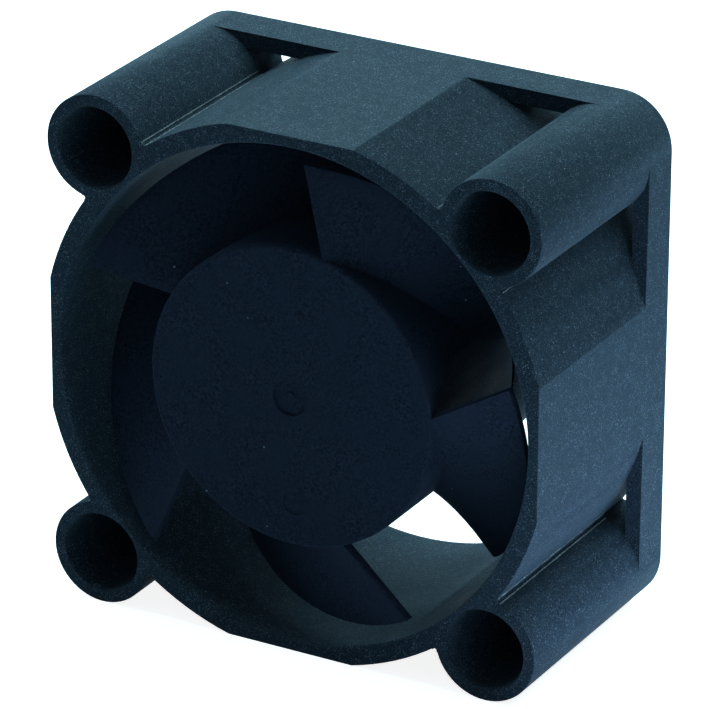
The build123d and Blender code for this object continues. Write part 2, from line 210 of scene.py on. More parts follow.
def shade(colour: Colour, factor: float) -> Colour:
    """A colour made lighter or darker by a factor."""
    return tuple(min(1.0, channel * factor) for channel in colour)


@dataclass(frozen=True)
class Finish:
    """A plain finish whose colour and roughness vary a little in soft patches."""

    name: str
    colour: Colour
    roughness: float
    metallic: float = 0.0
    specular: float = 0.5
    coat: float = 0.0
    sheen: float = 0.0
    sheen_tint: Colour = (1.0, 1.0, 1.0)
    patch_size: float = 2.5 * MM
    patch_range: Range = (0.3, 0.7)
    patch_tone: float = 0.15
    patch_roughness: float = 0.05
    grain_size: float = 0.12 * MM
    grain_depth: float = 0.0015 * MM

    def tones(self, change: float) -> tuple[Colour, Colour]:
        """The colour made darker and lighter by a change."""
        return shade(self.colour, 1 - change), shade(self.colour, 1 + change)

    def tone(self, sheet: Sheet, patches: Socket) -> Socket:
        """The colour over the surface."""
        return sheet.blend(patches, *self.tones(self.patch_tone))

    def relief(self, sheet: Sheet) -> Socket:
        """The surface direction."""
        return sheet.bump(sheet.noise(self.grain_size), self.grain_depth)

    def material(self) -> bpy.types.Material:
        """Builds the material.

        Returns:
            The finished material.
        """
        sheet = Sheet(self.name)
        patches = sheet.spread(sheet.noise(self.patch_size, 3.0), *self.patch_range)
        low, high = self.roughness - self.patch_roughness, self.roughness + self.patch_roughness
        shader = sheet.node("ShaderNodeBsdfPrincipled", {
            "Base Color": self.tone(sheet, patches),
            "Roughness": sheet.spread(patches, 0.0, 1.0, low, high),
            "Metallic": self.metallic,
            "Specular IOR Level": self.specular,
            "Coat Weight": self.coat,
            "Sheen Weight": self.sheen,
            "Sheen Tint": (*self.sheen_tint, 1.0),
            "Normal": self.relief(sheet),
        })
        return sheet.show(shader.outputs["BSDF"])


@dataclass(frozen=True)
class ErodedPlastic(Finish):
    """Black moulding with the grain that a spark-eroded mould leaves, painted glints on the grain tips, and
    pale flecks in it.
    """

    pit_size: float = 0.16 * MM
    pit_depth: float = 0.040 * MM
    pit_range: Range = (0.35, 0.65)
    fine_grain: float = 0.5
    grain_tone: float = 0.55
    tip_share: float = 0.55
    tip_ramp: float = 0.22
    cluster_size: float = 0.7 * MM
    cluster_range: Range = (0.35, 0.60)
    cluster_least: float = 0.25
    # Painted glints: a pale colour on the highest grain tips, standing in for the light they catch, from this
    # level of the tip noise up.
    painted_glint: Colour = (0.190, 0.225, 0.290)
    painted_glint_from: float = 0.575
    fleck_pitch: float = 1.1 * MM
    fleck_reach: float = 0.05
    fleck_core: float = 0.6
    fleck_rarity: float = 0.62
    fleck_colour: Colour = (0.20, 0.25, 0.28)

    def tone(self, sheet: Sheet, patches: Socket) -> Socket:
        """The colour over the surface: grain in soft patches, clusters of painted glints on the grain tips
        and a few flecks.

        Args:
            sheet: The material under construction.
            patches: How light each place is, from 0 to 1.

        Returns:
            The colour.
        """
        grain = sheet.spread(sheet.noise(self.pit_size, 3.0), *self.pit_range)
        speckled = sheet.blend(grain, *self.tones(self.grain_tone))
        # Painted glints: where the tip noise is high inside a cluster, the colour turns pale in place of
        # light glinting off the grain.
        tips = sheet.noise(self.pit_size * self.tip_share, 1.0)
        clusters = sheet.spread(sheet.noise(self.cluster_size), *self.cluster_range, self.cluster_least)
        painted_glint_mask = sheet.spread(tips, self.painted_glint_from, self.painted_glint_from + self.tip_ramp)
        ground = sheet.blend(patches, speckled, super().tone(sheet, patches))
        grain_and_glints = sheet.blend(sheet.maths("MULTIPLY", painted_glint_mask, clusters), ground, self.painted_glint)
        cells = sheet.cells(self.fleck_pitch)
        near = sheet.spread(cells.outputs["Distance"], self.fleck_reach, self.fleck_reach * self.fleck_core)
        chosen = sheet.node("ShaderNodeSeparateColor", {"Color": cells.outputs["Color"]})
        few = sheet.maths("GREATER_THAN", chosen.outputs["Red"], self.fleck_rarity)
        return sheet.blend(sheet.maths("MULTIPLY", near, few), grain_and_glints, self.fleck_colour)

    def relief(self, sheet: Sheet) -> Socket:
        """The surface direction: pits with a finer grain on them."""
        pits = sheet.bump(sheet.noise(self.pit_size, 2.0), self.pit_depth)
        return sheet.bump(sheet.noise(self.grain_size * self.fine_grain), self.grain_depth, pits)


@dataclass(frozen=True)
class TurnedMetal(Finish):
    """Metal with the fine rings that a lathe or a grinding wheel leaves about the fan axis."""

    metallic: float = 1.0
    patch_tone: float = 0.06
    ring_pitch: float = 0.05 * MM
    ring_depth: float = 0.0012 * MM

    def relief(self, sheet: Sheet) -> Socket:
        """The surface direction: rings by the distance from the axis and by the height.

        Args:
            sheet: The material under construction.

        Returns:
            The surface direction.
        """
        parts = sheet.node("ShaderNodeSeparateXYZ", {"Vector": sheet.place}).outputs
        across, up = (sheet.maths("MULTIPLY", parts[axis], parts[axis]) for axis in ("X", "Z"))
        radius = sheet.maths("SQRT", sheet.maths("ADD", across, up))
        rings = sheet.node("ShaderNodeCombineXYZ", {"X": radius, "Y": parts["Y"]})
        marks = sheet.noise(self.ring_pitch, 3.0, rings.outputs["Vector"])
        return sheet.bump(marks, self.ring_depth, super().relief(sheet))


@dataclass(frozen=True)
class BrushedFilm(Finish):
    """Metallised film with hairlines along one direction."""

    line_width: float = 0.03 * MM
    line_length: float = 4.0 * MM
    line_depth: float = 0.0010 * MM

    def relief(self, sheet: Sheet) -> Socket:
        """The surface direction: hairlines across the film over its soft unevenness.

        Args:
            sheet: The material under construction.

        Returns:
            The surface direction.
        """
        squeeze = (self.line_width / self.line_length, 1.0, 1.0)
        drawn = sheet.node("ShaderNodeMapping", {"Scale": squeeze, "Vector": sheet.place})
        lines = sheet.noise(self.line_width, 2.0, drawn.outputs["Vector"])
        return sheet.bump(lines, self.line_depth, super().relief(sheet))


@dataclass(frozen=True)
class SolderResist(Finish):
    """Resist over copper tracks, which show through as a paler green."""

    track_pitch: float = 2.2 * MM
    track_inner: float = 0.30
    track_outer: float = 0.42
    track_soft: float = 0.02
    track_tone: float = 1.9
    track_height: float = 0.015 * MM

    def tracks(self, sheet: Sheet) -> Socket:
        """Where the tracks run.

        Args:
            sheet: The material under construction.

        Returns:
            A share that is 1 on the tracks.
        """
        away = sheet.cells(self.track_pitch, distance="CHEBYCHEV").outputs["Distance"]
        inside = sheet.spread(away, self.track_inner - self.track_soft, self.track_inner)
        beyond = sheet.spread(away, self.track_outer, self.track_outer + self.track_soft, 1.0, 0.0)
        return sheet.maths("MULTIPLY", inside, beyond)

    def tone(self, sheet: Sheet, patches: Socket) -> Socket:
        """The colour over the surface: green with paler tracks."""
        paler = shade(self.colour, self.track_tone)
        return sheet.blend(self.tracks(sheet), super().tone(sheet, patches), paler)

    def relief(self, sheet: Sheet) -> Socket:
        """The surface direction: tracks that stand up a little."""
        return sheet.bump(self.tracks(sheet), self.track_height, super().relief(sheet))


@dataclass(frozen=True)
class Paintbox:
    """Every finish on the fan."""

    # The housing and impeller plastics carry painted glints on their grain tips; the impeller's are dimmer.
    housing: Finish = ErodedPlastic(
        "housing_plastic", (0.0152, 0.0232, 0.0345), 0.60, specular=0.007, sheen=0.10,
        sheen_tint=(0.50, 0.74, 0.92), patch_tone=0.10,
    )
    # Paler plastic with strong painted glints for the ridges of the crease fillets: a painted highlight
    # standing in for the light the ridges catch.
    painted_ridge_highlight: Finish = ErodedPlastic(
        "housing_worn_edge", (0.045, 0.058, 0.068), 0.55, specular=0.05, patch_tone=0.35,
        patch_size=0.9 * MM, painted_glint=(0.28, 0.32, 0.35), painted_glint_from=0.46,
    )
    impeller: Finish = ErodedPlastic(
        "impeller_plastic", (0.0124, 0.0164, 0.0290), 0.60, specular=0.007, sheen=0.05,
        sheen_tint=(0.40, 0.66, 1.0), patch_tone=0.08,
        pit_size=0.20 * MM, pit_depth=0.015 * MM, painted_glint=(0.034, 0.045, 0.062), painted_glint_from=0.64,
        fleck_pitch=1.6 * MM,
    )
    yoke: Finish = TurnedMetal("yoke_steel", (0.52, 0.52, 0.50), 0.34, ring_pitch=0.12 * MM)
    magnet: Finish = Finish("magnet", (0.05, 0.05, 0.055), 0.72, specular=0.3, grain_depth=0.004 * MM)
    brass: Finish = TurnedMetal("brass", (0.72, 0.56, 0.26), 0.26)
    washer: Finish = Finish("washer_plastic", (0.75, 0.73, 0.66), 0.45, patch_tone=0.05)
    lamination: Finish = Finish(
        "lamination_steel", (0.36, 0.37, 0.39), 0.38, metallic=1.0, patch_size=0.8 * MM,
    )
    bobbin: Finish = Finish("bobbin_plastic", (0.70, 0.66, 0.52), 0.42, patch_tone=0.06)
    copper: Finish = Finish("copper", (0.72, 0.34, 0.14), 0.28, metallic=1.0, coat=0.7, patch_size=0.6 * MM)
    tin: Finish = Finish("tinned_metal", (0.70, 0.71, 0.72), 0.26, metallic=1.0, patch_size=0.3 * MM)
    board: Finish = SolderResist("board", (0.05, 0.20, 0.09), 0.36, coat=0.4, patch_tone=0.06)
    chip: Finish = Finish("chip_plastic", (0.03, 0.03, 0.032), 0.55, specular=0.4, grain_depth=0.003 * MM)
    ceramic: Finish = Finish("capacitor", (0.45, 0.34, 0.22), 0.50, patch_tone=0.08, patch_size=0.5 * MM)
    film: Finish = BrushedFilm("label", (0.30, 0.31, 0.32), 0.42, metallic=0.45, patch_tone=0.03)
    steel: Finish = TurnedMetal("bearing_steel", (0.72, 0.72, 0.73), 0.16)


@cache
def mix(finish: Finish) -> bpy.types.Material:
    """The material of a finish, mixed the first time it is asked for."""
    return finish.material()


def stand(name: str, data: bpy.types.ID) -> bpy.types.Object:
    """Puts a new object into the scene, at the origin.

    Args:
        name: The object's name.
        data: Its mesh, lamp or camera.

    Returns:
        The object.
    """
    made = bpy.data.objects.new(name, data)
    bpy.context.scene.collection.objects.link(made)
    return made


class Graph(Nodes):
    """A Geometry Nodes group under construction, from a carrier mesh to a dressed one."""

    def __init__(self, name: str) -> None:
        """Starts a group with its carrier mesh and its material as inputs.

        Args:
            name: The group's name.
        """
        super().__init__(bpy.data.node_groups.new(name, "GeometryNodeTree"))
        self.entry = self.node("NodeGroupInput")
        self.keys: dict[str, str] = {}
        self.carrier = self.ask("Carrier", "Geometry")
        self.material = self.ask("Material", "Material")
        self.tree.interface.new_socket("Geometry", in_out="OUTPUT", socket_type="NodeSocketGeometry")

    def ask(self, name: str, kind: str, value: object = None) -> Socket:
        """Adds a named input.

        Args:
            name: The input's name.
            kind: Its type, such as Float or Vector.
            value: What it holds until it is set.

        Returns:
            The socket that gives its value inside the group.
        """
        made = self.tree.interface.new_socket(name, in_out="INPUT", socket_type="NodeSocket" + kind)
        if value is not None:
            made.default_value = value
        self.keys[name] = made.identifier
        return self.entry.outputs[name]

    def plus(self, first: Socket, second: Socket, times: float) -> Socket:
        """The first value and a number of times the second."""
        feeds = {0: second, 1: times, 2: first}
        return self.node("ShaderNodeMath", feeds, operation="MULTIPLY_ADD").outputs["Value"]

    def vector(self, operation: str, first: Socket, second: Socket) -> Socket:
        """The answer of one sum with two vectors."""
        return self.node("ShaderNodeVectorMath", {0: first, 1: second}, operation=operation).outputs[0]

    def close(self, geometry: Socket, shading: Shading = Shading.SMOOTH) -> None:
        """Ends the group: real meshes, shading and the material.

        Args:
            geometry: What the group has made.
            shading: How its faces shade.
        """
        real = self.node("GeometryNodeRealizeInstances", {"Geometry": geometry}).outputs[0]
        if shading is not Shading.AS_IT_IS:
            smooth = shading is Shading.SMOOTH
            shaded = self.node("GeometryNodeSetShadeSmooth", {"Geometry": real, "Shade Smooth": smooth})
            real = shaded.outputs[0]
        dressed = self.node("GeometryNodeSetMaterial", {"Geometry": real, "Material": self.material})
        self.node("NodeGroupOutput", {0: dressed.outputs[0]})

    def attach(self, piece: bpy.types.Object, finish: Finish,
               values: dict[str, object]) -> bpy.types.Modifier:
        """Puts the group on a piece as a modifier.

        Args:
            piece: The piece.
            finish: The finish of the result.
            values: The group's other inputs that are set.

        Returns:
            The modifier.
        """
        step = piece.modifiers.new(self.tree.name, "NODES")
        step.node_group = self.tree
        for key, value in {"Material": mix(finish), **values}.items():
            step[self.keys[key]] = value
        return step

    def bake(self, name: str, carrier: bpy.types.Mesh, finish: Finish,
             values: dict[str, object]) -> bpy.types.Object:
        """Runs the group once and keeps the result as a plain mesh.

        Args:
            name: The new object's name.
            carrier: The mesh the group starts from.
            finish: The finish of the result.
            values: The group's other inputs that are set.

        Returns:
            The object, at the origin.
        """
        made = stand(name, carrier)
        step = self.attach(made, finish, values)
        scene_state = bpy.context.evaluated_depsgraph_get()
        mesh = bpy.data.meshes.new_from_object(made.evaluated_get(scene_state), depsgraph=scene_state)
        mesh.name = name
        made.modifiers.remove(step)
        made.data = mesh
        return made


def points_mesh(name: str, places: list[Point], turns: list[float] | None = None) -> bpy.types.Mesh:
    """A mesh of loose points that carries a turn about the fan axis for each.

    Args:
        name: The mesh's name.
        places: Where the points lie.
        turns: How far each is turned, in radians.

    Returns:
        The mesh.
    """
    mesh = bpy.data.meshes.new(name)
    mesh.from_pydata(places, [], [])
    turned = mesh.attributes.new("turn", "FLOAT", "POINT")
    turned.data.foreach_set("value", turns or [0.0] * len(places))
    return mesh


def closed_mesh(name: str, points: list[Point], faces: list[tuple[int, ...]]) -> bpy.types.Mesh:
    """A mesh with its doubles merged and its faces pointing outwards.

    Args:
        name: The mesh's name.
        points: Its corners.
        faces: The corners of each face.

    Returns:
        The mesh.
    """
    mesh = bpy.data.meshes.new(name)
    mesh.from_pydata(points, [], faces)
    work = bmesh.new()
    work.from_mesh(mesh)
    bmesh.ops.remove_doubles(work, verts=work.verts, dist=SAME_POINT)
    bmesh.ops.recalc_face_normals(work, faces=work.faces)
    work.to_mesh(mesh)
    work.free()
    return mesh


def turned_mesh(name: str, profile: Profile, steps: int) -> bpy.types.Mesh:
    """A closed profile turned about the Y axis.

    Args:
        name: The mesh's name.
        profile: Radius and height for each corner, in millimetres, the height forward.
        steps: How many sections go round.

    Returns:
        The mesh, centred on the origin.
    """
    points = [
        (radius * MM * math.cos(turn), -height * MM, radius * MM * math.sin(turn))
        for turn in (math.tau * step / steps for step in range(steps))
        for radius, height in profile
    ]
    count = len(profile)
    faces = [
        (a * count + i, a * count + j, b * count + j, b * count + i)
        for a, b in ((step, (step + 1) % steps) for step in range(steps))
        for i, j in ((corner, (corner + 1) % count) for corner in range(count))
    ]
    return closed_mesh(name, points, faces)


def block_mesh(name: str, size: Point, edge: float) -> bpy.types.Mesh:
    """A block with rounded edges that stands on the plane Y = 0 and reaches forward.

    Args:
        name: The mesh's name.
        size: Its length along X, its height along -Y and its width along Z.
        edge: How wide the rounding of its edges is.

    Returns:
        The mesh.
    """
    work = bmesh.new()
    bmesh.ops.create_cube(work, size=1.0)
    for corner in work.verts:
        corner.co = Vector((corner.co.x * size[0], (corner.co.y - 0.5) * size[1], corner.co.z * size[2]))
    bmesh.ops.bevel(work, geom=work.edges[:], offset=edge, segments=2, affect="EDGES", profile=0.5)
    bmesh.ops.recalc_face_normals(work, faces=work.faces)
    mesh = bpy.data.meshes.new(name)
    work.to_mesh(mesh)
    work.free()
    return mesh


def around(angle: float, radius: float, height: float) -> Point:
    """The point at an angle in degrees, a radius and a height forward of the rear face, in millimetres."""
    turn = math.radians(angle)
    return radius * math.cos(turn) * MM, -height * MM, radius * math.sin(turn) * MM


def place_copies() -> Graph:
    """Builds the group that sets copies of a shape on the carrier's points.

    Returns:
        The group, with the inputs Shape, Size Spread and Seed.
    """
    graph = Graph("place_copies")
    shape = graph.node(
        "GeometryNodeObjectInfo", {"Object": graph.ask("Shape", "Object")}, transform_space="ORIGINAL",
    )
    spread = graph.ask("Size Spread", "Float", 0.04)
    seed = graph.ask("Seed", "Int", 7)
    size = graph.node("FunctionNodeRandomValue", {
        2: graph.maths("SUBTRACT", 1.0, spread), 3: graph.maths("ADD", 1.0, spread), "Seed": seed,
    }, data_type="FLOAT")
    turn = graph.node("GeometryNodeInputNamedAttribute", {"Name": "turn"}, data_type="FLOAT")
    turned = graph.node("ShaderNodeCombineXYZ", {"Y": turn.outputs["Attribute"]})
    placed = graph.node("GeometryNodeInstanceOnPoints", {
        "Points": graph.carrier, "Instance": shape.outputs["Geometry"], "Rotation": turned.outputs[0],
        "Scale": size.outputs[1],
    })
    graph.close(placed.outputs[0])
    return graph


def wind_turns(layers: int) -> Graph:
    """Builds the group that winds wire in layers round a straight former.

    Args:
        layers: How many layers lie on each other.

    Returns:
        The group, with inputs for the former, the wire, the turns and where the former stands.
    """
    graph = Graph(f"wind_{layers}_layers")
    width, height, corner, wire, grow = (
        graph.ask(name, "Float") for name in ("Width", "Height", "Corner", "Wire Radius", "Layer Pitch")
    )
    turns = graph.ask("Turns", "Int")
    start, step, lie, place, turn = (
        graph.ask(name, "Vector") for name in ("Start", "Step", "Loop Turn", "Place", "Turn")
    )
    section = graph.node("GeometryNodeCurvePrimitiveCircle", {"Resolution": 8, "Radius": wire})
    joined = graph.node("GeometryNodeJoinGeometry")
    for layer in range(layers):
        out = graph.plus(wire, grow, float(layer))
        loop = graph.node("GeometryNodeCurvePrimitiveQuadrilateral", {
            "Width": graph.plus(width, out, 2.0), "Height": graph.plus(height, out, 2.0),
        })
        rounded = graph.node("GeometryNodeFilletCurve", {
            "Curve": loop.outputs[0], "Radius": graph.plus(corner, out, 1.0), "Count": 5,
            "Limit Radius": True,
        }, mode="POLY")
        tube = graph.node("GeometryNodeCurveToMesh", {
            "Curve": rounded.outputs[0], "Profile Curve": section.outputs[0],
        })
        laid = graph.node("GeometryNodeTransform", {"Geometry": tube.outputs[0], "Rotation": lie})
        odd = layer % 2
        half = graph.node("ShaderNodeVectorMath", {0: step, "Scale": 0.5 * odd}, operation="SCALE")
        row = graph.node("GeometryNodeMeshLine", {
            "Count": graph.maths("SUBTRACT", turns, float(odd)),
            "Start Location": graph.vector("ADD", start, half.outputs[0]), "Offset": step,
        })
        wound = graph.node("GeometryNodeInstanceOnPoints", {
            "Points": row.outputs[0], "Instance": laid.outputs[0],
        })
        graph.tree.links.new(wound.outputs[0], joined.inputs[0])
    stood = graph.node("GeometryNodeTransform", {
        "Geometry": joined.outputs[0], "Translation": place, "Rotation": turn,
    })
    graph.close(stood.outputs[0])
    return graph


def stack_sheets() -> Graph:
    """Builds the group that stacks copies of the carrier along the fan axis.

    Returns:
        The group, with the inputs Sheets and Step.
    """
    graph = Graph("stack_sheets")
    row = graph.node("GeometryNodeMeshLine", {
        "Count": graph.ask("Sheets", "Int"), "Offset": graph.ask("Step", "Vector"),
    })
    laid = graph.node("GeometryNodeInstanceOnPoints", {"Points": row.outputs[0], "Instance": graph.carrier})
    graph.close(laid.outputs[0], Shading.FLAT)
    return graph


def hold_in_box() -> Graph:
    """Builds the group that draws points outside a box back onto its faces.

    Returns:
        The group, with the box's corners as the inputs Low and High.
    """
    graph = Graph("hold_in_box")
    place = graph.node("GeometryNodeInputPosition").outputs[0]
    for corner, limit in (("Low", "MAXIMUM"), ("High", "MINIMUM")):
        place = graph.vector(limit, place, graph.ask(corner, "Vector"))
    moved = graph.node("GeometryNodeSetPosition", {"Geometry": graph.carrier, "Position": place})
    graph.close(moved.outputs[0], Shading.AS_IT_IS)
    return graph


@dataclass
class Node:
    """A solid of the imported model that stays, with softened edges and its own finish."""

    name: str

    @property
    def piece(self) -> bpy.types.Object:
        """The solid's object."""
        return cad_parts[self.name]

    def paint(self, finish: Finish) -> None:
        """Gives the solid its finish.

        Args:
            finish: The finish.
        """
        mesh = self.piece.data
        mesh.materials.clear()
        mesh.materials.append(mix(finish))
        log.info("%s: %s", self.name, finish.name)

    def paint_where(self, finish: Finish, chosen: Callable[[Vector], bool]) -> None:
        """Gives some of the solid's faces a second finish.

        Args:
            finish: The second finish.
            chosen: Whether a face gets it, from the face's middle.
        """
        mesh = self.piece.data
        mesh.materials.append(mix(finish))
        for face in mesh.polygons:
            if chosen(face.center):
                face.material_index = len(mesh.materials) - 1

    def soften(self, width: float, segments: int = 2, clamp: bool = True) -> None:
        """Rounds the sharp edges.

        Args:
            width: How wide the rounding is, in metres.
            segments: How many faces go round it.
            clamp: Whether the rounding shrinks where edges lie close together.
        """
        weld = self.piece.modifiers.new("weld", "WELD")
        weld.merge_threshold = SEAM_GAP
        bevel = self.piece.modifiers.new("edge", "BEVEL")
        bevel.width = width
        bevel.segments = segments
        bevel.limit_method = "ANGLE"
        bevel.angle_limit = SHARP_TURN
        bevel.use_clamp_overlap = clamp
        bevel.harden_normals = True
        bevel.miter_outer = "MITER_ARC"

    def dress(self, finish: Finish, edge: float) -> None:
        """Rounds the sharp edges to a width in metres and gives the solid its finish."""
        self.soften(edge)
        self.paint(finish)

    def hold(self, finish: Finish) -> None:
        """Draws what the rounding of a solid of one finish pushed out back into the solid's own box."""
        low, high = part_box(self.name)
        hold_in_box().attach(self.piece, finish, {"Low": low, "High": high})

    def merged_copy(self, name: str) -> bpy.types.Mesh:
        """A copy of the solid's mesh with its doubles merged and its flat faces whole.

        Args:
            name: The copy's name.

        Returns:
            The new mesh.
        """
        work = bmesh.new()
        work.from_mesh(self.piece.data)
        bmesh.ops.remove_doubles(work, verts=work.verts, dist=SEAM_GAP)
        bmesh.ops.dissolve_limit(work, angle_limit=FLAT_TURN, verts=work.verts, edges=work.edges)
        mesh = bpy.data.meshes.new(name)
        work.to_mesh(mesh)
        work.free()
        return mesh


def adopt(piece: bpy.types.Object, body: Body, finish: Finish, *stands_for: str) -> None:
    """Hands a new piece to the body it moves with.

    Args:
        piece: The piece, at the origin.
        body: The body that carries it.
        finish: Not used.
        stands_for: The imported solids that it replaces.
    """
    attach(piece, body.value)
    if stands_for:
        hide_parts(*stands_for)
    log.info("%s: %d faces on %s", piece.name, len(piece.data.polygons), body.value)


@dataclass
class Housing:
    """The square moulding: duct, corner bosses, rear rim, struts and motor base. Sizes in millimetres."""

    paints: Paintbox
    edge: float = 0.07
    label_edge: float = 0.02
    duct_outer_r: float = 20.65
    boss_r: float = 4.0
    boss_place: float = 16.0
    flange_top: float = 3.6
    depth: float = 20.0
    crease_width: float = 0.38
    crease_root: float = 0.5
    crease_sink: float = 0.02
    crease_steps: int = 7
    crease_bury: float = 0.1
    crease_stop: float = 0.06
    ridge_half: float = 0.06
    ridge_height: float = 0.055
    ridge_sink: float = 0.04

    def crease_corners(self) -> list[tuple[Vector, Vector, Vector]]:
        """Where the duct's outside meets each boss.

        Returns:
            For each of the eight creases its point in the plane across the axis, the direction along
            the duct's outside away from the boss, and the direction along the boss away from the duct.
        """
        apart = math.hypot(self.boss_place, self.boss_place)
        along = (self.duct_outer_r ** 2 - self.boss_r ** 2 + apart ** 2) / (2 * apart)
        aside = math.sqrt(self.duct_outer_r ** 2 - along ** 2)
        found = []
        for quarter in range(4):
            turn = math.radians(45 + 90 * quarter)
            diagonal = Vector((math.cos(turn), math.sin(turn)))
            square = Vector((-diagonal.y, diagonal.x))
            for side in (-1, 1):
                corner = diagonal * along + square * aside * side
                duct_out = corner.normalized()
                boss_out = (corner - diagonal * apart).normalized()
                duct_way = square * side - duct_out * duct_out.dot(square * side)
                boss_way = diagonal - boss_out * boss_out.dot(diagonal)
                found.append((corner, duct_way.normalized(), boss_way.normalized()))
        return found

    def crease_section(self, corner: Vector, duct_way: Vector, boss_way: Vector) -> list[Vector]:
        """The outline of one fillet, seen along the fan axis.

        Args:
            corner: The point of the crease.
            duct_way: The direction along the duct's outside.
            boss_way: The direction along the boss.

        Returns:
            Its root in the crease, the ridge on the duct, the hollow face and the ridge on the boss.
        """
        inwards = -(duct_way + boss_way).normalized()
        duct_out = corner.normalized()
        boss_out = duct_out - boss_way * duct_out.dot(boss_way)
        boss_out = boss_out.normalized() if boss_out.dot(duct_way) > 0 else -boss_out.normalized()
        first, last = (corner + way * self.crease_width for way in (duct_way, boss_way))
        section = [
            corner + inwards * self.crease_width * self.crease_root,
            first + duct_way * self.ridge_half - duct_out * self.crease_sink,
            first + duct_out * self.ridge_height,
        ]
        for step in range(1, self.crease_steps):
            share = step / self.crease_steps
            bent = first * (1 - share) ** 2 + corner * 2 * share * (1 - share) + last * share ** 2
            section.append(bent - inwards * self.crease_sink)
        section.append(last + boss_out * self.ridge_height)
        section.append(last + boss_way * self.ridge_half - boss_out * self.ridge_sink)
        return section

    def creases(self) -> None:
        """Fills the sharp creases between duct and bosses with small fillets, and paints a paler highlight on
        their ridges.
        """
        points, faces = [], []
        for corner, duct_way, boss_way in self.crease_corners():
            section = self.crease_section(corner, duct_way, boss_way)
            start, count = len(points), len(section)
            for height in (self.flange_top - self.crease_bury, self.depth - self.crease_stop):
                points += [(place.x * MM, -height * MM, place.y * MM) for place in section]
            faces += [(start + i, start + (i + 1) % count, start + count + (i + 1) % count, start + count + i)
                      for i in range(count)]
            faces += [tuple(range(start, start + count)), tuple(range(start + count, start + 2 * count))]
        mesh = closed_mesh("crease_fillets", points, faces)
        mesh.materials.append(mix(self.paints.housing))
        mesh.materials.append(mix(self.paints.painted_ridge_highlight))
        # The ridge faces take the paler plastic as a painted highlight along the creases.
        painted_highlight_faces = {1, 2, count - 3, count - 2}
        for index, face in enumerate(mesh.polygons):
            face.material_index = int(index % (count + 2) in painted_highlight_faces)
        adopt(stand("crease_fillets", mesh), Body.HOUSING, self.paints.housing)

    def build(self) -> None:
        """Softens and paints the moulding."""
        shell = Node("frame")
        shell.soften(self.edge * MM, segments=3, clamp=False)
        shell.hold(self.paints.housing)
        shell.paint(self.paints.housing)
        self.creases()
        Node("rear_label").dress(self.paints.film, self.label_edge * MM)


@dataclass
class Impeller:
    """The hub and its five blades."""

    paints: Paintbox
    edge: float = 0.08 * MM

    def build(self) -> None:
        """Softens and paints the moulding."""
        Node("impeller").dress(self.paints.impeller, self.edge)


@dataclass
class RotorCore:
    """What is inside the hub: yoke, magnet, bush, shaft and the small parts on the shaft."""

    paints: Paintbox
    edge: float = 0.06 * MM
    fine_edge: float = 0.03 * MM

    def build(self) -> None:
        """Softens and paints the pieces."""
        for name, finish, edge in (
            ("rotor_yoke", self.paints.yoke, self.edge),
            ("magnet_ring", self.paints.magnet, self.edge),
            ("shaft_bush", self.paints.brass, self.edge),
            ("shaft", self.paints.steel, self.fine_edge),
            ("thrust_washer", self.paints.washer, self.fine_edge),
            ("retaining_clip", self.paints.steel, self.fine_edge),
        ):
            Node(name).dress(finish, edge)
        Node("preload_spring").paint(self.paints.steel)


@dataclass
class Bearings:
    """The two ball bearings and the brass sleeve that holds them."""

    paints: Paintbox
    edge: float = 0.03 * MM

    def build(self) -> None:
        """Softens and paints the pieces."""
        steel = self.paints.steel
        for end in ("front", "rear"):
            for part in ("inner_race", "outer_race", "shields", "cage"):
                Node(f"{end}_bearing_{part}").dress(steel, self.edge)
            Node(f"{end}_bearing_balls").paint(steel)
        Node("bearing_sleeve").dress(self.paints.brass, 2 * self.edge)


